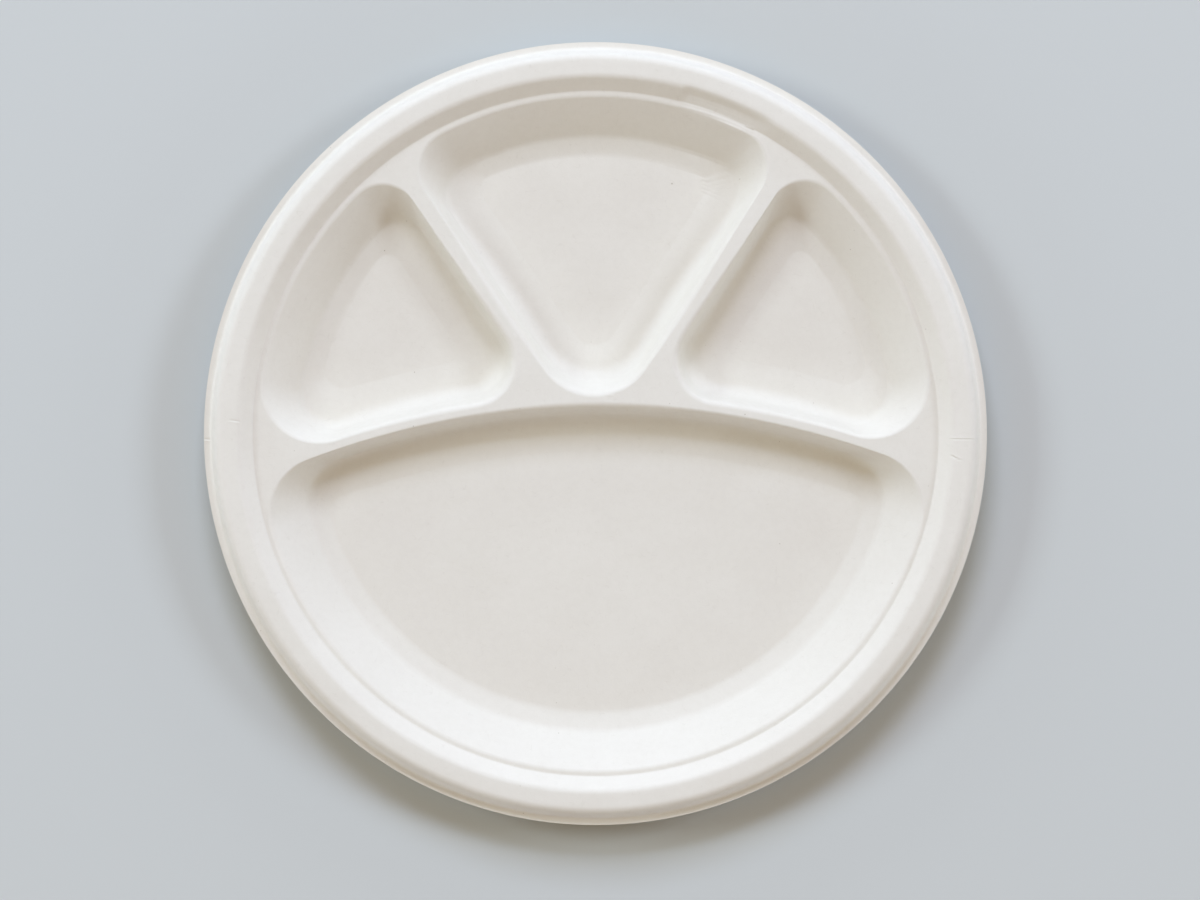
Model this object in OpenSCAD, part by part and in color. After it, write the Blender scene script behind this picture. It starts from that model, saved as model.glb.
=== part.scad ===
// Round paper plate of moulded plant fibre with four pressed compartments:
// a wedge at the top, a pocket on each side of it and one large pocket below.
// Millimetres, +Z up, +Y towards the wedge. The origin is the centre of the
// underside, on the surface that the plate stands on.

/* [Sheet] */
// Thickness of the pressed fibre
sheet = 0.7; // [0.5:0.1:1.1]
// Outside diameter of the plate
plate_d = 280; // [262:2:320]
// Height from the underside of the floors to the top of the sheet between the pockets
ledge_h = 15; // [12:0.1:20]

/* [Rim] */
// Width of the flat lip at the outer edge
lip_w = 1.8; // [1:0.2:4]
// Drop from the top of the rim to the lip
lip_drop = 5.8; // [3:0.2:8]
// Plan width of the rim's outer slope
outer_slope_w = 3.8; // [2.6:0.2:6]
// Width of the flat top of the rim between its two slopes
rim_top_w = 6.8; // [5:0.2:12]
// Height of the rim above the sheet between the pockets
rim_rise = 5; // [3.6:0.2:8]
// Plan width of the rim's inner slope
inner_slope_w = 5; // [3.6:0.2:8]
// Width of the narrow ledge between the rim and the pockets
ledge_w = 1.9; // [1.7:0.1:6]
// Radius of the rim's two shoulders
rim_round = 2; // [1.4:0.2:2.8]
// Radius where the rim's slopes run out flat
rim_foot = 0.8; // [0.4:0.1:1]

/* [Pocket walls] */
// Plan width of the steep slope that follows the rim
outer_slope_run = 13.8; // [11:0.2:17]
// Plan width of the gentle foot below that slope
outer_foot_run = 6.6; // [5:0.2:9]
// Height of that foot above the floor
outer_foot_h = 2; // [0.8:0.1:2.6]
// Plan width of the steep walls along the dividers
divider_slope_run = 3.6; // [3:0.2:6]
// Plan width of the gentle foot below those walls
divider_foot_run = 12.4; // [9:0.2:14]
// Height of that foot above the floor
divider_foot_h = 2.2; // [0.8:0.1:2.6]
// Radius over the top edge of a wall
shoulder_round = 2.4; // [1.5:0.1:2.6]
// Radius between a wall's steep slope and its foot
knee_round = 6; // [3:0.5:7]
// Radius from the foot into the floor
floor_round = 6; // [3:0.5:10]

/* [Dividers] */
// Width of the dividers beside the wedge
side_divider_w = 5.6; // [5.4:0.2:9]
// Width of the divider above the large pocket, at the plate's centre line
cross_divider_w = 4.6; // [4.6:0.2:9]
// Angle between each side of the wedge and the centre line
wedge_angle = 33.5; // [28:0.5:38]
// Height of the large pocket's upper edge above the centre of the plate
cross_y = 9.6; // [0:0.2:20]
// Radius of the large pocket's upper edge
cross_r = 300; // [200:5:500]
// Radius of the lower edge of the side pockets
side_lower_r = 290; // [200:5:500]

/* [Corners] */
// Radius of the wedge's tip
tip_round = 22; // [16:1:30]
// Radius of the wedge's two upper corners
wedge_corner = 15; // [12:1:22]
// Radius of the side pockets' upper corner
apex_corner = 13; // [11:0.5:20]
// Radius of the side pockets' corner towards the centre
inner_corner = 15; // [12:0.5:20]
// Radius of the side pockets' corner beside the large pocket
outer_corner = 20; // [15:1:26]
// Radius of the large pocket's two corners
main_corner = 21; // [16:1:30]
// Radius in the corners of the floors
floor_corner = 5; // [3:0.5:7]
// Share of the way from the floor's corner radius to the top edge's, at the bottom of the steep slope
knee_share = 0.4; // [0.25:0.05:0.6]

/* [Hidden] */

fibre = [0.93, 0.92, 0.89];
round_fn = 240;
shoulder_steps = 4;
knee_steps = 4;
floor_steps = 1;

rim_top = ledge_h + rim_rise;
lip_top = rim_top - lip_drop;

// radii of the rim's bends, counted inwards from the cut edge
edge_r = plate_d / 2;
lip_r = edge_r - lip_w;
rim_out_r = lip_r - outer_slope_w;
rim_in_r = rim_out_r - rim_top_w;
rim_foot_r = rim_in_r - inner_slope_w;
ring_r = rim_foot_r - ledge_w;

// the cross divider lies between two arcs about centres on the centre line
cross_o = [0, cross_y - cross_r];
side_lower_o = [0, cross_y + cross_divider_w - side_lower_r];

// the wedge's tip keeps the cross divider's width above that divider
tip_o = [0, cross_y + cross_divider_w + tip_round];
side_dir = [sin(wedge_angle), cos(wedge_angle)];
side_in = [-cos(wedge_angle), sin(wedge_angle)];
wedge_q = tip_o - tip_round * side_in;
pocket_q = wedge_q - side_divider_w * side_in;

function unit(v) = v / norm(v);
function bearing(v) = atan2(v.y, v.x);
function polar(c, r, a) = c + r * [cos(a), sin(a)];
function short_way(a) = a - 360 * round(a / 360);

// centre at distance "reach" from o, on the line through q along d
function on_line(q, d, o, reach) =
    let (b = q - o, m = b * d)
    q + (sqrt(m * m - b * b + reach * reach) - m) * d;

// right-hand centre at distance r1 from o1 and r2 from o2, both on the centre line
function on_two(o1, r1, o2, r2) =
    let (h = o2.y - o1.y, y = (h * h + r1 * r1 - r2 * r2) / (2 * h))
    [sqrt(r1 * r1 - y * y), o1.y + y];

// an outline is a chain of arcs and lines, each sampled at even fractions
function arc(c, r, from, to, steps) = [c, r, from, from + short_way(to - from), steps];
function line(from, to, steps) = [from, to, steps];
function at(piece, f) =
    len(piece) == 3
        ? piece[0] + f * (piece[1] - piece[0])
        : polar(piece[0], piece[1], piece[2] + f * (piece[3] - piece[2]));
function trace(chain) =
    [for (piece = chain) let (n = piece[len(piece) - 1]) for (k = [0:n - 1]) at(piece, k / n)];

// wedge: "out" and "in" are how far its outer edge and its sides lie inside the top edges
function wedge_edge(out, in, corner, tip) =
    let (
        q = wedge_q + in * side_in,
        ring = ring_r - out,
        tip_c = [0, (tip + q * side_in) / side_in.y],
        c = on_line(q + corner * side_in, side_dir, [0, 0], ring - corner),
        m = [-c.x, c.y],
        left_in = [-side_in.x, side_in.y]
    )
    trace([
        arc([0, 0], ring, bearing(c), bearing(m), 16),
        arc(m, corner, bearing(m), bearing(-left_in), 9),
        line(m - corner * left_in, tip_c - tip * left_in, 7),
        arc(tip_c, tip, bearing(-left_in), bearing(-side_in), 12),
        line(tip_c - tip * side_in, c - corner * side_in, 7),
        arc(c, corner, bearing(-side_in), bearing(c), 9)
    ]);

// pocket to the right of the wedge
function side_edge(out, in, apex, inner, outer) =
    let (
        q = pocket_q - in * side_in,
        ring = ring_r - out,
        lower = side_lower_r + in,
        a = on_line(q - apex * side_in, side_dir, [0, 0], ring - apex),
        i = on_line(q - inner * side_in, side_dir, side_lower_o, lower + inner),
        o = on_two([0, 0], ring - outer, side_lower_o, lower + outer)
    )
    trace([
        arc([0, 0], ring, bearing(o), bearing(a), 12),
        arc(a, apex, bearing(a), bearing(side_in), 10),
        line(a + apex * side_in, i + inner * side_in, 6),
        arc(i, inner, bearing(side_in), bearing(side_lower_o - i), 10),
        arc(side_lower_o, lower, bearing(i - side_lower_o), bearing(o - side_lower_o), 7),
        arc(o, outer, bearing(side_lower_o - o), bearing(o), 10)
    ]);

// large pocket below the cross divider
function main_edge(out, in, corner) =
    let (
        ring = ring_r - out,
        upper = cross_r - in,
        c = on_two([0, 0], ring - corner, cross_o, upper - corner),
        m = [-c.x, c.y]
    )
    trace([
        arc(cross_o, upper, bearing(c - cross_o), bearing(m - cross_o), 14),
        arc(m, corner, bearing(m - cross_o), bearing(m), 10),
        arc([0, 0], ring, bearing(m), -90, 13),
        arc([0, 0], ring, -90, bearing(c), 13),
        arc(c, corner, bearing(c), bearing(c - cross_o), 10)
    ]);

// each pocket has three outlines: the wall's top edge, the bottom of its steep slope, and the floor
outer_run = outer_slope_run + outer_foot_run;
divider_run = divider_slope_run + divider_foot_run;
wide_corner = floor_corner + 2;
function knee_corner(top, floor = floor_corner) = floor + knee_share * (top - floor);

wedge = [
    wedge_edge(0, 0, wedge_corner, tip_round),
    wedge_edge(outer_slope_run, divider_slope_run, knee_corner(wedge_corner), tip_round),
    wedge_edge(outer_run, divider_run, floor_corner, floor_corner + 3)
];
side = [
    side_edge(0, 0, apex_corner, inner_corner, outer_corner),
    side_edge(
        outer_slope_run,
        divider_slope_run,
        knee_corner(apex_corner),
        knee_corner(inner_corner),
        knee_corner(outer_corner, wide_corner)
    ),
    side_edge(outer_run, divider_run, floor_corner, floor_corner, wide_corner)
];
main = [
    main_edge(0, 0, main_corner),
    main_edge(outer_slope_run, divider_slope_run, knee_corner(main_corner, wide_corner)),
    main_edge(outer_run, divider_run, wide_corner)
];

function mirrored(edges) = [for (e = edges) [for (k = [len(e) - 1:-1:0]) [-e[k].x, e[k].y]]];
pockets = [wedge, side, mirrored(side), main];

// rounds the corner v of the path p-v-q; "grow" is added to the drawn radius
function bend(p, v, q, r, grow, steps) =
    let (
        a = unit(p - v),
        b = unit(q - v),
        half = acos(a * b) / 2,
        c = v + unit(a + b) * r / sin(half),
        from = bearing(v + a * r / tan(half) - c),
        turn = short_way(bearing(v + b * r / tan(half) - c) - from)
    )
    [for (k = [0:steps]) polar(c, r + grow, from + turn * k / steps)];

function back(list) = [for (k = [len(list) - 1:-1:0]) list[k]];

// section of a pocket wall: u inwards from its top edge, then z; its knee ends the steep slope
function wall_skin(knee, run, under) =
    let (s = [0, ledge_h], f = [run, sheet], far = [run, 0])
    concat(
        bend(s - far, s, knee, shoulder_round, -under, shoulder_steps),
        bend(s, knee, f, knee_round, under, knee_steps),
        bend(knee, f, f + far, floor_round, under, floor_steps)
    );
function wall_section(knee, run) =
    concat(wall_skin(knee, run, 0), back(wall_skin(knee, run, sheet)));

// the foot's height goes over from the dividers' to the rim's as the steep slope gets wider
function foot_h(steep) =
    let (share = (steep - divider_slope_run) / (outer_slope_run - divider_slope_run))
    divider_foot_h + max(0, min(1, share)) * (outer_foot_h - divider_foot_h);

// plan points lie on a fine grid, so that the pressed pockets and the holes they fill share them
function on_grid(v) = round(v * 1024) / 1024;

// the section stood over each set of points of a pocket's three outlines
function wall_rings(pocket) =
    [for (k = [0:len(pocket[0]) - 1])
        let (
            top = pocket[0][k],
            steep = pocket[1][k] - top,
            foot = pocket[2][k] - pocket[1][k],
            knee = [norm(steep), sheet + foot_h(norm(steep))]
        )
        [for (p = wall_section(knee, knee[0] + norm(foot)))
            let (xy = top + min(p[0], knee[0]) * unit(steep) + max(0, p[0] - knee[0]) * unit(foot))
            [on_grid(xy.x), on_grid(xy.y), p[1]]]];
walls = [for (p = pockets) wall_rings(p)];

// plan outline where a pocket's wall meets the flat sheet round it
function mouth(rings) = [for (r = rings) [r[0].x, r[0].y]];

function mean(list, k) = [for (v = list) 1] * [for (v = list) v[k]] / len(list);

// one pressed pocket: the wall's section carried round the outline, and the floor inside it
module pocket(rings) {
    n = len(rings);
    m = len(rings[0]);
    top = m / 2 - 1;
    edge = mouth([for (r = rings) [r[top]]]);
    mid = [mean(edge, 0), mean(edge, 1)];
    polyhedron(
        points = concat([for (r = rings) for (p = r) p], [[mid.x, mid.y, sheet], [mid.x, mid.y, 0]]),
        faces = [
            for (i = [0:n - 1])
                let (a = i * m, b = ((i + 1) % n) * m)
                each concat(
                    [for (j = [0:m - 1]) if (j != top) [a + j, a + (j + 1) % m, b + (j + 1) % m]],
                    [for (j = [0:m - 1]) if (j != top) [a + j, b + (j + 1) % m, b + j]],
                    [[a + top, n * m, b + top], [b + top + 1, n * m + 1, a + top + 1]]
                )
        ]
    );
}

// half section of the sheet round the pockets: flat middle, ledge, rim and cut lip
function blank_skin(under) =
    let (
        foot = [rim_foot_r, ledge_h],
        a = [rim_in_r, rim_top],
        b = [rim_out_r, rim_top],
        lip = [lip_r, lip_top],
        end = [edge_r, lip_top]
    )
    concat(
        [[0, ledge_h - under]],
        bend([0, ledge_h], foot, a, rim_foot, under, 4),
        bend(foot, a, b, rim_round, -under, 7),
        bend(a, b, lip, rim_round, -under, 8),
        bend(b, lip, end, rim_foot, under, 4),
        [[edge_r, lip_top - under]]
    );

module blank() {
    rotate_extrude($fn = round_fn)
        polygon(concat(blank_skin(0), back(blank_skin(sheet))));
}

module plate() {
    color(fibre) {
        difference() {
            blank();
            for (rings = walls)
                translate([0, 0, ledge_h - 2 * sheet])
                    linear_extrude(height = 3 * sheet)
                        polygon(mouth(rings));
        }
        for (rings = walls) pocket(rings);
    }
}

plate();
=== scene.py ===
import math

import bpy
import numpy as np
from mathutils.geometry import delaunay_2d_cdt
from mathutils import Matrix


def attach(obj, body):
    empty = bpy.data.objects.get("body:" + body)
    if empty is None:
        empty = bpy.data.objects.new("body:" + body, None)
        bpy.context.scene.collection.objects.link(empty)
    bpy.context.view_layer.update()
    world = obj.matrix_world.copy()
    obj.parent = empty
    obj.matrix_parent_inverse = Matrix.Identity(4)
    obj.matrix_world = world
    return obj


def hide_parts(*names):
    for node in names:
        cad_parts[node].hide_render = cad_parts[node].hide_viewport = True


# Round plate of moulded fibre with four pressed pockets. The mesh is made in
# millimetres, with the same named sizes as the solid, and scaled at the end.
# Only the rim's bends and the lower parts of the pocket walls are drawn finer than in the solid,
# and the creases, the crushed stretch of the rim and the sheet's unevenness are only here.
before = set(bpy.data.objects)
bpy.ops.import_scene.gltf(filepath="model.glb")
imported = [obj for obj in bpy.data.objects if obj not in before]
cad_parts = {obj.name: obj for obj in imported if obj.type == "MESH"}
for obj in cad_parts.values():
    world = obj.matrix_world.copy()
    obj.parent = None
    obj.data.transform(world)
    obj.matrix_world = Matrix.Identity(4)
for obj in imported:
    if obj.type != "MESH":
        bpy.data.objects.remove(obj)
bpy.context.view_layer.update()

SHEET = 0.7
EDGE_R = 140.0
LEDGE_H = 15.0
RIM_IN_R = 127.6
RIM_FOOT_R = RIM_IN_R - 5.0
RING_R = RIM_FOOT_R - 1.9
RIM_TOP = LEDGE_H + 5.0
LIP_TOP = RIM_TOP - 5.8
RIM_OUT_R, LIP_R = 135.3, 137.6
RIM_ROUND, RIM_FOOT, LIP_FOOT = 3.2, 0.8, 1.2

# a wall is steep down to its knee, and a gentle foot runs out from there to the floor
OUTER_SLOPE, OUTER_FOOT, OUTER_FOOT_H = 13.8, 6.6, 2.0
DIVIDER_SLOPE, DIVIDER_FOOT, DIVIDER_FOOT_H = 3.6, 12.4, 0.5
SHOULDER_ROUND, KNEE_ROUND, FLOOR_ROUND = 2.4, 6.0, 6.0

SIDE_W, CROSS_W, WEDGE_ANGLE = 5.6, 4.6, math.radians(33.5)
CROSS_Y, CROSS_R, SIDE_LOWER_R = 9.6, 300.0, 290.0
TIP_ROUND, WEDGE_CORNER, MAIN_CORNER = 22.0, 15.0, 21.0
APEX_CORNER, INNER_CORNER, OUTER_CORNER = 13.0, 15.0, 20.0
FLOOR_CORNER, KNEE_SHARE, OUTER_KNEE_SHARE = 5.0, 0.68, 0.4

# the foot of a wall has one more bend, the brow: its place on the foot and its share of the height
BROW_AT, DIVIDER_BROW_H, OUTER_BROW_H = 0.55, 0.85, 0.45
GUARD = 0.16    # a ring this far outside each bend keeps the flat sheet flat in the shading
FLAT = 9.0      # length of flat sheet that a bend is measured against

# triangles of the flat areas: their size, and how far they stay from an outline's points
FLOOR_PITCH, FLOOR_CLEAR = 2.3, 1.5
LEDGE_PITCH, LEDGE_CLEAR, RIM_CLEAR = 1.25, 0.6, 0.5

cross_o = np.array([0, CROSS_Y - CROSS_R])
side_lower_o = np.array([0, CROSS_Y + CROSS_W - SIDE_LOWER_R])
tip_c = np.array([0, CROSS_Y + CROSS_W + TIP_ROUND])
side_dir = np.array([math.sin(WEDGE_ANGLE), math.cos(WEDGE_ANGLE)])
side_in = np.array([-math.cos(WEDGE_ANGLE), math.sin(WEDGE_ANGLE)])
wedge_q = tip_c - TIP_ROUND * side_in
pocket_q = wedge_q - SIDE_W * side_in
ZERO = np.zeros(2)


def bearing(v):
    return math.atan2(v[1], v[0])


def on_line(q, d, o, reach):
    b = q - o
    m = b @ d
    return q + (math.sqrt(m * m - b @ b + reach * reach) - m) * d


def on_two(o1, r1, o2, r2):
    h = o2[1] - o1[1]
    y = (h * h + r1 * r1 - r2 * r2) / (2 * h)
    return np.array([math.sqrt(r1 * r1 - y * y), o1[1] + y])


def arc(c, r, start, end, steps):
    turn = (end - start + math.pi) % (2 * math.pi) - math.pi
    a = start + turn * np.arange(steps) / steps
    return c + r * np.c_[np.cos(a), np.sin(a)]


def line(a, b, steps):
    return a + np.outer(np.arange(steps) / steps, b - a)


def mirror_x(v):
    return np.array([-v[0], v[1]])


def wedge_edge(out, inn, corner, tip):
    q = wedge_q + inn * side_in
    ring = RING_R - out
    tip_c = np.array([0, (tip + q @ side_in) / side_in[1]])
    c = on_line(q + corner * side_in, side_dir, ZERO, ring - corner)
    m, left_in = mirror_x(c), mirror_x(side_in)
    return np.vstack([
        arc(ZERO, ring, bearing(c), bearing(m), 56),
        arc(m, corner, bearing(m), bearing(-left_in), 26),
        line(m - corner * left_in, tip_c - tip * left_in, 30),
        arc(tip_c, tip, bearing(-left_in), bearing(-side_in), 34),
        line(tip_c - tip * side_in, c - corner * side_in, 30),
        arc(c, corner, bearing(-side_in), bearing(c), 26),
    ])


def side_edge(out, inn, apex, inner, outer):
    q = pocket_q - inn * side_in
    ring, lower = RING_R - out, SIDE_LOWER_R + inn
    a = on_line(q - apex * side_in, side_dir, ZERO, ring - apex)
    i = on_line(q - inner * side_in, side_dir, side_lower_o, lower + inner)
    o = on_two(ZERO, ring - outer, side_lower_o, lower + outer)
    return np.vstack([
        arc(ZERO, ring, bearing(o), bearing(a), 40),
        arc(a, apex, bearing(a), bearing(side_in), 28),
        line(a + apex * side_in, i + inner * side_in, 28),
        arc(i, inner, bearing(side_in), bearing(side_lower_o - i), 28),
        arc(side_lower_o, lower, bearing(i - side_lower_o), bearing(o - side_lower_o), 28),
        arc(o, outer, bearing(side_lower_o - o), bearing(o), 30),
    ])


def main_edge(out, inn, corner):
    ring, upper = RING_R - out, CROSS_R - inn
    c = on_two(ZERO, ring - corner, cross_o, upper - corner)
    m = mirror_x(c)
    return np.vstack([
        arc(cross_o, upper, bearing(c - cross_o), bearing(m - cross_o), 76),
        arc(m, corner, bearing(m - cross_o), bearing(m), 34),
        arc(ZERO, ring, bearing(m), -math.pi / 2, 56),
        arc(ZERO, ring, -math.pi / 2, bearing(c), 56),
        arc(c, corner, bearing(c), bearing(c - cross_o), 34),
    ])


def knee_corner(top, floor=FLOOR_CORNER, share=KNEE_SHARE):
    return floor + share * (top - floor)


# each pocket has three outlines: the wall's top edge, its knee, and the floor
OUTER_RUN, DIVIDER_RUN = OUTER_SLOPE + OUTER_FOOT, DIVIDER_SLOPE + DIVIDER_FOOT
WIDE_CORNER = FLOOR_CORNER + 2
wedge = [wedge_edge(0, 0, WEDGE_CORNER, TIP_ROUND),
         wedge_edge(OUTER_SLOPE, DIVIDER_SLOPE, knee_corner(WEDGE_CORNER), TIP_ROUND),
         wedge_edge(OUTER_RUN, DIVIDER_RUN, FLOOR_CORNER, FLOOR_CORNER + 3)]
side = [side_edge(0, 0, APEX_CORNER, INNER_CORNER, OUTER_CORNER),
        side_edge(OUTER_SLOPE, DIVIDER_SLOPE, knee_corner(APEX_CORNER), knee_corner(INNER_CORNER),
                  knee_corner(OUTER_CORNER, WIDE_CORNER, OUTER_KNEE_SHARE)),
        side_edge(OUTER_RUN, DIVIDER_RUN, FLOOR_CORNER, FLOOR_CORNER, WIDE_CORNER)]
main = [main_edge(0, 0, MAIN_CORNER),
        main_edge(OUTER_SLOPE, DIVIDER_SLOPE, knee_corner(MAIN_CORNER, WIDE_CORNER)),
        main_edge(OUTER_RUN, DIVIDER_RUN, WIDE_CORNER)]
other = [(e * [-1, 1])[::-1] for e in side]
POCKETS = [wedge, side, other, main]


def bend(p, v, q, r, steps):
    """The corner v of the path p-v-q, rounded with radius r."""
    p, v, q = (np.asarray(x, float) for x in (p, v, q))
    a = (p - v) / np.linalg.norm(p - v)
    b = (q - v) / np.linalg.norm(q - v)
    half = math.acos(max(-1, min(1, a @ b))) / 2
    c = v + (a + b) / np.linalg.norm(a + b) * r / math.sin(half)
    start = v + a * r / math.tan(half) - c
    end = v + b * r / math.tan(half) - c
    s = bearing(start)
    turn = (bearing(end) - s + math.pi) % (2 * math.pi) - math.pi
    t = s + turn * np.arange(steps + 1) / steps
    return c + r * np.c_[np.cos(t), np.sin(t)]


def filled(a, b, steps):
    """Points strictly between the ends of two bends."""
    return [a[-1] + (b[0] - a[-1]) * k / steps for k in range(1, steps)]


def wall_section(knee, run, share):
    """Share is 0 for a divider's wall and 1 for one along the rim."""
    foot_h = DIVIDER_FOOT_H + share * (OUTER_FOOT_H - DIVIDER_FOOT_H)
    s, k, f = (0, LEDGE_H), (knee, SHEET + foot_h), (run, SHEET)
    brow_h = foot_h * (DIVIDER_BROW_H + share * (OUTER_BROW_H - DIVIDER_BROW_H))
    brow = (knee + BROW_AT * (run - knee), SHEET + brow_h)
    top = bend((-FLAT, LEDGE_H), s, k, SHOULDER_ROUND, 7)
    mid = bend(s, k, brow, KNEE_ROUND, 6)
    low = bend(brow, f, (run + FLAT, SHEET), FLOOR_ROUND, 2)
    return np.array([
        top[0] - [GUARD, 0], *top, *filled(top, mid, 8), *mid, *filled(mid, [brow], 2), brow,
        *filled([brow], low, 2), *low, low[-1] + [GUARD, 0],
    ])


def wall(pocket):
    """Rings of the wall, from the flat sheet round the pocket to its floor."""
    rings = []
    for top, knee, foot in zip(*pocket):
        d1, d2 = np.linalg.norm(knee - top), np.linalg.norm(foot - knee)
        share = min(1, max(0, (d1 - DIVIDER_SLOPE) / (OUTER_SLOPE - DIVIDER_SLOPE)))
        e1, e2 = (knee - top) / d1, (foot - knee) / d2
        ring = []
        for u, z in wall_section(d1, d1 + d2, share):
            xy = top + min(u, d1) * e1 + max(0, u - d1) * e2
            ring.append((*xy, z))
        rings.append(ring)
    return np.array(rings)


def inside(points, outline):
    """Which plan points lie inside a closed outline."""
    x, y = points[:, 0], points[:, 1]
    hit = np.zeros(len(points), bool)
    for (x0, y0), (x1, y1) in zip(outline, np.roll(outline, -1, 0)):
        if y0 == y1:
            continue
        span = (y0 > y) != (y1 > y)
        hit ^= span & (x < (x1 - x0) * (y - y0) / (y1 - y0) + x0)
    return hit


def clear_of(points, outline, gap):
    """Drops the points nearer than gap to an outline's points."""
    keep = np.ones(len(points), bool)
    for p in outline:
        keep &= ((points - p) ** 2).sum(1) > gap * gap
    return points[keep]


def lattice(pitch, reach):
    rows = int(reach / (pitch * 0.866)) + 1
    cols = int(reach / pitch) + 1
    return np.array([(pitch * (i + 0.5 * (j % 2)), pitch * 0.866 * j)
                     for j in range(-rows, rows + 1) for i in range(-cols, cols + 1)])


def cross(a, b):
    return a[:, 0] * b[:, 1] - a[:, 1] * b[:, 0]


def filled_region(outlines, extra, keep):
    """Triangles between outlines; keep says which plan points belong to the region."""
    pts, edges = [], []
    for o in outlines:
        n0 = len(pts)
        pts += [tuple(p) for p in o]
        edges += [(n0 + k, n0 + (k + 1) % len(o)) for k in range(len(o))]
    pts += [tuple(p) for p in extra]
    verts, _, faces, orig, _, _ = delaunay_2d_cdt(pts, edges, [], 0, 1e-5)
    index = [o[0] for o in orig]
    tri = np.array([[index[v] for v in f] for f in faces])
    p = np.array(pts)
    mids = p[tri].mean(1)
    tri = tri[keep(mids)]
    a, b, c = p[tri[:, 0]], p[tri[:, 1]], p[tri[:, 2]]
    area = cross(b - a, c - a)
    tri[area < 0] = tri[area < 0][:, ::-1]
    return tri[np.abs(area) > 1e-7]


verts, faces = [], []


def add(points):
    """Adds vertices and returns their numbers."""
    first = sum(len(v) for v in verts)
    verts.append(np.asarray(points, float))
    return np.arange(first, first + len(points))


def add_quads(ids):
    """Faces between the closed rows of a ring of points, each quad cut along its shorter diagonal."""
    nxt = np.roll(ids, -1, 0)
    quad = np.stack([ids[:, :-1], ids[:, 1:], nxt[:, 1:], nxt[:, :-1]], -1).reshape(-1, 4)
    p = np.vstack(verts)[quad]
    first = ((p[:, 0] - p[:, 2]) ** 2).sum(1) <= ((p[:, 1] - p[:, 3]) ** 2).sum(1)
    a, b = quad[first], quad[~first]
    faces.extend([a[:, [0, 1, 2]], a[:, [0, 2, 3]], b[:, [0, 1, 3]], b[:, [1, 2, 3]]])


mouths, mouth_ids = [], []
for pocket in POCKETS:
    rings = wall(pocket)
    n, m = rings.shape[:2]
    ids = add(rings.reshape(-1, 3)).reshape(n, m)
    add_quads(ids)
    mouths.append(rings[:, 0, :2])
    mouth_ids.append(ids[:, 0])
    foot = rings[:, -1, :2]
    grid = lattice(FLOOR_PITCH, RING_R)
    grid = clear_of(grid[inside(grid, foot)], foot, FLOOR_CLEAR)
    tri = filled_region([foot], grid, lambda q, foot=foot: inside(q, foot))
    grid_ids = add(np.c_[grid, np.full(len(grid), SHEET)])
    faces.append(np.r_[ids[:, -1], grid_ids][tri])


def polar(angle, radius):
    a = math.radians(angle)
    return np.array([radius * math.cos(a), radius * math.sin(a)])


# hairline creases in and beside the rim: both ends as angle and radius, then depth and width
CREASES = [
    ((180.4, 137.4), (180.3, 140.3), 0.18, 0.30),
    ((177.6, 126.6), (177.4, 130.8), 0.15, 0.30),
    ((-1.4, 125.4), (-1.4, 136.4), 0.15, 0.24),
    ((-4.0, 126.8), (-4.8, 131.0), 0.19, 0.28),
    ((63.6, 121.8), (61.8, 122.2), 0.24, 0.34),
]

# the crushed stretch of the rim's inner slope: angles where it begins, is deepest and ends,
# how soon it ends, its depth over the radius, and the fine ridges along its lower part
CRUSH_FROM, CRUSH_FULL, CRUSH_END, CRUSH_FADE = 58.5, 63.0, 75.6, 1.6
DENT_R = [122.4, 123, 124, 125, 125.9, 126.6, 127.2, 127.8, 128.4, 128.9]
DENT_DEPTH = [0, 0.14, 0.5, 0.88, 1.25, 1.05, 0.75, 0.4, 0.12, 0]
RIDGE_H, RIDGE_PITCH, RIDGE_SLANT, RIDGE_END_R = 0.035, 1.3, 0.07, 126.2
BUMP_H, BUMP_ANGLE, BUMP_R = 0.7, 65, 119.6

# the rim is revolved, with closer steps where it is creased or its inner slope was crushed
turn = np.arange(-30, 330, 0.05)
density = 1 + 2.2 * ((turn > 56) & (turn < 78))
density += 6 * ((turn > 73.8) & (turn < 76))
for (a0, _), (a1, _), _, _ in CREASES[:4]:
    density += 9 * ((turn > min(a0, a1) - 0.45) & (turn < max(a0, a1) + 0.45))
grow = np.cumsum(density)
STEPS = 500
theta = np.interp(np.arange(STEPS) * grow[-1] / STEPS, np.r_[0, grow], np.r_[turn, 330])
theta = np.radians(theta)
rim_foot, rim_in, rim_out = (RIM_FOOT_R, LEDGE_H), (RIM_IN_R, RIM_TOP), (RIM_OUT_R, RIM_TOP)
lip, lip_end = (LIP_R, LIP_TOP), (EDGE_R, LIP_TOP)
foot_b = bend((0, LEDGE_H), rim_foot, rim_in, RIM_FOOT, 3)
in_b = bend(rim_foot, rim_in, rim_out, RIM_ROUND, 5)
out_b = bend(rim_in, rim_out, lip, RIM_ROUND, 7)
lip_b = bend(rim_out, lip, lip_end, LIP_FOOT, 4)
rim = np.array([
    foot_b[0] - [GUARD, 0], *foot_b, *filled(foot_b, in_b, 8), *in_b, *filled(in_b, out_b, 4),
    *out_b, *filled(out_b, lip_b, 4), *lip_b, lip_end,
])
rim_pts = np.stack([np.outer(np.cos(theta), rim[:, 0]), np.outer(np.sin(theta), rim[:, 0]),
                    np.tile(rim[:, 1], (len(theta), 1))], -1)
rim_ids = add(rim_pts.reshape(-1, 3)).reshape(len(theta), len(rim))
add_quads(rim_ids)

# the flat sheet between the pockets and the rim
inner_rim = rim_pts[:, 0, :2]
inner_r = np.hypot(*inner_rim[0])
grid = lattice(LEDGE_PITCH, RIM_FOOT_R)
grid = grid[np.hypot(*grid.T) < inner_r - RIM_CLEAR]
for o in mouths:
    grid = clear_of(grid[~inside(grid, o)], o, LEDGE_CLEAR)


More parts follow.
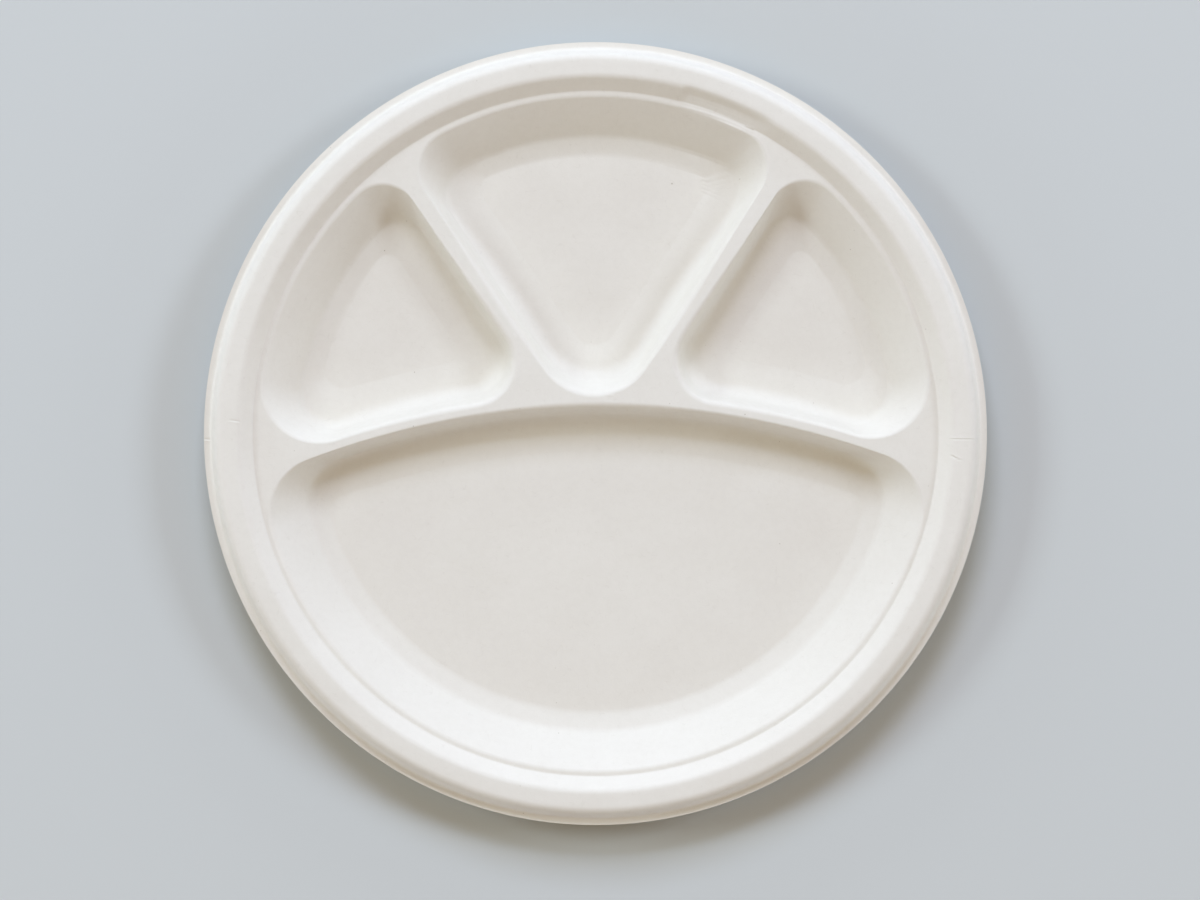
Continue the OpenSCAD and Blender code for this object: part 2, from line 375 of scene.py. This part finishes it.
def between(q):
    ok = np.hypot(q[:, 0], q[:, 1]) < inner_r
    for o in mouths:
        ok &= ~inside(q, o)
    return ok


tri = filled_region([inner_rim, *mouths], grid, between)
ids = np.concatenate([rim_ids[:, 0], *mouth_ids, add(np.c_[grid, np.full(len(grid), LEDGE_H)])])
faces.append(ids[tri])

top = np.vstack(verts)
tris = np.vstack(faces)
a, b, c = (top[tris[:, k], :2] for k in range(3))
down = cross(b - a, c - a) < 0
tris[down] = tris[down][:, ::-1]


def vertex_normals(p, t):
    n = np.zeros_like(p)
    fn = np.cross(p[t[:, 1]] - p[t[:, 0]], p[t[:, 2]] - p[t[:, 0]])
    for k in range(3):
        np.add.at(n, t[:, k], fn)
    return n / np.linalg.norm(n, axis=1, keepdims=True)


normal = vertex_normals(top, tris)
under = top - SHEET * normal
under[:, 2] = np.maximum(under[:, 2], 0)
edge = np.hypot(top[:, 0], top[:, 1]) > EDGE_R - 1e-3
under[edge] = top[edge] - [0, 0, SHEET]


PEAK = 1.4      # a sum of waves is cut off at this height


def ripple(p, length, waves, seed):
    """A smooth random height between about -1 and 1 over the plan points."""
    rng = np.random.default_rng(seed)
    total = np.zeros(len(p))
    for _ in range(waves):
        a, phase = rng.uniform(0, 2 * math.pi), rng.uniform(0, 2 * math.pi)
        k = 2 * math.pi / length * rng.uniform(0.6, 1.5)
        total += np.sin(k * (p[:, 0] * math.cos(a) + p[:, 1] * math.sin(a)) + phase)
    return np.clip(total / math.sqrt(waves), -PEAK, PEAK) / PEAK


def step(x):
    x = np.clip(x, 0, 1)
    return x * x * (3 - 2 * x)


plan, height = top[:, :2], top[:, 2]
radius = np.hypot(plan[:, 0], plan[:, 1])
angle = np.degrees(np.arctan2(plan[:, 1], plan[:, 0]))

# the whole sheet is a little uneven; the floors only bulge upward, so nothing falls below the table
WAVE, GRAIN = 0.13, 0.03
lift = 1 - 2 * (height - SHEET) / (RIM_TOP - SHEET)
shift = WAVE * (ripple(plan, 42, 14, 3) + lift) + GRAIN * (ripple(plan, 11, 18, 5) + lift)

# the crush flattens the inner slope below, makes it steeper above, and lifts the ledge beside it
span = step((angle - CRUSH_FROM) / (CRUSH_FULL - CRUSH_FROM))
span *= step((CRUSH_END - angle) / CRUSH_FADE)
dent = np.interp(radius, DENT_R, DENT_DEPTH)
ridges = np.sin(2 * math.pi * (radius + RIDGE_SLANT * (angle - 60)) / RIDGE_PITCH)
shift -= span * (dent + RIDGE_H * ridges * (radius < RIDGE_END_R))
shift += BUMP_H * np.exp(-((angle - BUMP_ANGLE) / 3) ** 2 - ((radius - BUMP_R) / 1.1) ** 2)

for start, end, depth, width in CREASES:
    a, b = polar(*start), polar(*end)
    along = (b - a) / np.linalg.norm(b - a)
    side_on = (plan - a) @ np.array([-along[1], along[0]])
    t = (plan - a) @ along / np.linalg.norm(b - a)
    ends = step(t / 0.12) * step((1 - t) / 0.12)
    groove = np.exp(-(side_on / width) ** 2)
    lifted = 0.5 * np.exp(-((side_on - 1.7 * width) / width) ** 2)
    shift -= depth * ends * (groove - lifted)

top[:, 2] += shift
under[:, 2] += shift

n_top = len(top)
cut = rim_ids[:, -1]
cut_next = np.roll(cut, -1)
strip = np.vstack([
    np.c_[cut, cut + n_top, cut_next + n_top],
    np.c_[cut, cut_next + n_top, cut_next],
])
points = np.vstack([top, under]) / 1000
triangles = np.vstack([tris, tris[:, ::-1] + n_top, strip])

mesh = bpy.data.meshes.new("plate_skin")
mesh.from_pydata(points.tolist(), [], triangles.tolist())
mesh.validate()
mesh.polygons.foreach_set("use_smooth", np.ones(len(mesh.polygons), bool))
mesh.set_sharp_from_angle(angle=math.radians(50))
plate = bpy.data.objects.new("plate_skin", mesh)
bpy.context.collection.objects.link(plate)
print("plate_skin", len(mesh.vertices), "vertices", len(mesh.polygons), "triangles")

side_mark = mesh.attributes.new("screen_side", "FLOAT", "POINT")
side_mark.data.foreach_set("value", np.r_[np.zeros(n_top), np.ones(n_top)])

# felted pulp: cloudy tone, short fibres, a few dark specks, a screen's print underneath
PULP, DARK_PULP = (0.80, 0.765, 0.685), (0.46, 0.41, 0.32)
SPECKS = [(-75.3, 66.5, 0.42), (-65.1, 3.2, 0.36), (-64.9, 22.7, 0.34), (28.3, 89.7, 0.46),
          (53.5, 6.4, 0.36)]    # the placed ones: x, y and size
SCREEN_PITCH = 0.0009
mat = bpy.data.materials.new("moulded_fibre")
mat.use_nodes = True
tree = mat.node_tree
bsdf = tree.nodes["Principled BSDF"]
bsdf.inputs["Specular IOR Level"].default_value = 0.3


def node(kind, wires=None, **values):
    n = tree.nodes.new("ShaderNode" + kind)
    for k, v in values.items():
        setattr(n, k, v)
    for socket, v in (wires or {}).items():
        if isinstance(v, bpy.types.NodeSocket):
            tree.links.new(v, n.inputs[socket])
        else:
            n.inputs[socket].default_value = v
    return n


def maths(op, a, b=0.0, clamp=False):
    return node("Math", {0: a, 1: b}, operation=op, use_clamp=clamp).outputs[0]


def ramped(v, lo, hi, to_lo=0.0, to_hi=1.0):
    wires = {"Value": v, "From Min": lo, "From Max": hi, "To Min": to_lo, "To Max": to_hi}
    return node("MapRange", wires, interpolation_type="SMOOTHSTEP").outputs["Result"]


def noise(scale, detail):
    wires = {"Vector": place, "Scale": scale, "Detail": detail}
    return node("TexNoise", wires).outputs["Fac"]


def mixed(parts):
    """The sum of several values, each times its weight."""
    total = maths("MULTIPLY", *parts[0])
    for value, weight in parts[1:]:
        total = maths("ADD", total, maths("MULTIPLY", value, weight))
    return total


place = node("TexCoord").outputs["Object"]
xyz = node("SeparateXYZ", {0: place})
flat = node("CombineXYZ", {"X": xyz.outputs["X"], "Y": xyz.outputs["Y"], "Z": 0.0}).outputs[0]


def fibres(scale, width, cover):
    """Short curved lines, where a noise crosses its middle and a second one lets them show."""
    off_line = maths("ABSOLUTE", maths("SUBTRACT", noise(scale, 0.0), 0.5))
    lines = ramped(off_line, 0.0, width, 1.0, 0.0)
    return maths("MULTIPLY", lines, ramped(noise(scale * 2.3, 0.0), cover, cover + 0.06))


cloud = ramped(noise(60, 3.0), 0.3, 0.7)
mottle = ramped(noise(420, 2.0), 0.3, 0.7)
grain = noise(1500, 3.0)
long_fibres, fine_fibres = fibres(260, 0.018, 0.52), fibres(640, 0.03, 0.5)

cells = node("TexVoronoi", {"Vector": flat, "Scale": 75.0}, voronoi_dimensions="2D")
chosen = node("SeparateColor", {0: cells.outputs["Color"]})
keep = ramped(chosen.outputs[0], 0.85, 0.87)
speck = maths("MULTIPLY", ramped(cells.outputs["Distance"], 0.010, 0.020, 1.0, 0.0), keep)
speck = maths("MULTIPLY", speck, ramped(chosen.outputs[1], 0.0, 1.0, 0.12, 0.6))
for x, y, size in SPECKS:
    away = node("VectorMath", {0: flat, 1: (x / 1000, y / 1000, 0)}, operation="DISTANCE")
    away = away.outputs["Value"]
    speck = maths("MAXIMUM", speck, ramped(away, size / 2200, size / 1400, 0.8, 0.0))

tone = mixed([(cloud, 0.030), (mottle, 0.030), (long_fibres, 0.075), (fine_fibres, 0.045)])
tone = maths("MAXIMUM", tone, speck, clamp=True)
colour = node("Mix", {0: tone, 6: (*PULP, 1), 7: (*DARK_PULP, 1)}, data_type="RGBA")
tree.links.new(colour.outputs[2], bsdf.inputs["Base Color"])
tree.links.new(ramped(mottle, 0.0, 1.0, 0.62, 0.76), bsdf.inputs["Roughness"])

across, along = (maths("SINE", maths("MULTIPLY", xyz.outputs[axis], 2 * math.pi / SCREEN_PITCH))
                 for axis in "XY")
weave = maths("MULTIPLY", across, along)
below = node("Attribute", attribute_name="screen_side").outputs["Fac"]
print_below = maths("MULTIPLY", weave, below)
relief = mixed([(grain, 0.5), (mottle, 0.35), (long_fibres, 0.35), (print_below, 0.8)])
bump = node("Bump", {"Strength": 0.6, "Distance": 0.00006, "Height": relief})
tree.links.new(bump.outputs[0], bsdf.inputs["Normal"])
mesh.materials.append(mat)

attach(plate, "root")
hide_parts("plate")

# pale floor, a hair below the plate
bpy.ops.mesh.primitive_plane_add(size=8, location=(0, 0, -0.0004))
ground = bpy.context.object
ground.name = "floor"
floor_mat = bpy.data.materials.new("pale_floor")
floor_mat.use_nodes = True
floor_bsdf = floor_mat.node_tree.nodes["Principled BSDF"]
floor_bsdf.inputs["Base Color"].default_value = (0.60, 0.62, 0.60, 1)
floor_bsdf.inputs["Roughness"].default_value = 0.9
ground.data.materials.append(floor_mat)

# camera: straight above, from far off, with the plate where the photo has it;
# its centre and its radius there are in pixels of a 1200 by 900 frame
DIST, FRAME_W, FRAME_H = 2.2, 1200, 900
CENTRE_X, CENTRE_Y, PLATE_R = 595.6, 433.5, 391.5
PX = PLATE_R / (EDGE_R / 1000)
cam_data = bpy.data.cameras.new("camera")
cam = bpy.data.objects.new("camera", cam_data)
bpy.context.collection.objects.link(cam)
cam_data.sensor_width = 36
cam_data.lens = PX * cam_data.sensor_width / FRAME_W * (DIST - LIP_TOP / 1000)
cam_data.clip_end = 20
cam.location = ((FRAME_W / 2 - CENTRE_X) / PX, (CENTRE_Y - FRAME_H / 2) / PX, DIST)
cam.rotation_euler = (0, 0, math.radians(-0.5))
bpy.context.scene.camera = cam


def lamp(name, size, energy, colour, azimuth, elevation, distance):
    data = bpy.data.lights.new(name, "AREA")
    data.shape = "RECTANGLE"
    data.size, data.size_y = size
    data.energy = energy
    data.color = colour
    o = bpy.data.objects.new(name, data)
    bpy.context.collection.objects.link(o)
    a, e = math.radians(azimuth), math.radians(elevation)
    out, up = distance * math.cos(e), distance * math.sin(e)
    o.location = (out * math.sin(a), out * math.cos(a), up)
    o.rotation_mode = "QUATERNION"
    o.rotation_quaternion = o.location.to_track_quat("Z", "Y")


# the key stands beyond the top of the picture, with a softbox on each side
lamp("key", (2.2, 1.7), 144, (0.64, 0.76, 1.0), -5, 44, 4.5)
lamp("left_box", (1.5, 0.9), 64, (0.76, 0.90, 1.0), -75, 35, 4.5)
lamp("right_box", (1.5, 0.9), 61, (0.70, 0.83, 1.0), 75, 35, 4.5)

# the room is bright round the horizon and dim overhead: sine of the elevation, then colour
SKY = [
    (0.0, (1.00, 0.95, 1.10)), (0.12, (1.06, 1.06, 1.21)), (0.22, (1.25, 1.40, 1.52)),
    (0.34, (1.16, 1.30, 1.40)), (0.40, (0.15, 0.05, 0.02)), (0.62, (0.19, 0.08, 0.02)),
    (1.0, (0.39, 0.26, 0.04)),
]
SKY_PEAK = 1.6  # the ramp holds colours up to 1, so they are divided by this, and the strength is this
world = bpy.data.worlds.new("studio")
bpy.context.scene.world = world
world.use_nodes = True
sky, sky_links = world.node_tree.nodes, world.node_tree.links
coord = sky.new("ShaderNodeTexCoord")
split = sky.new("ShaderNodeSeparateXYZ")
ramp = sky.new("ShaderNodeValToRGB")
sky_links.new(coord.outputs["Generated"], split.inputs[0])
sky_links.new(split.outputs["Z"], ramp.inputs["Fac"])
sky_links.new(ramp.outputs["Color"], sky["Background"].inputs["Color"])
stops = ramp.color_ramp.elements
while len(stops) < len(SKY):
    stops.new(0.5)
for stop, (sine, tint) in zip(stops, SKY):
    stop.position = sine
    stop.color = (*(v / SKY_PEAK for v in tint), 1)
sky["Background"].inputs["Strength"].default_value = SKY_PEAK

bpy.context.scene.view_settings.view_transform = "Standard"
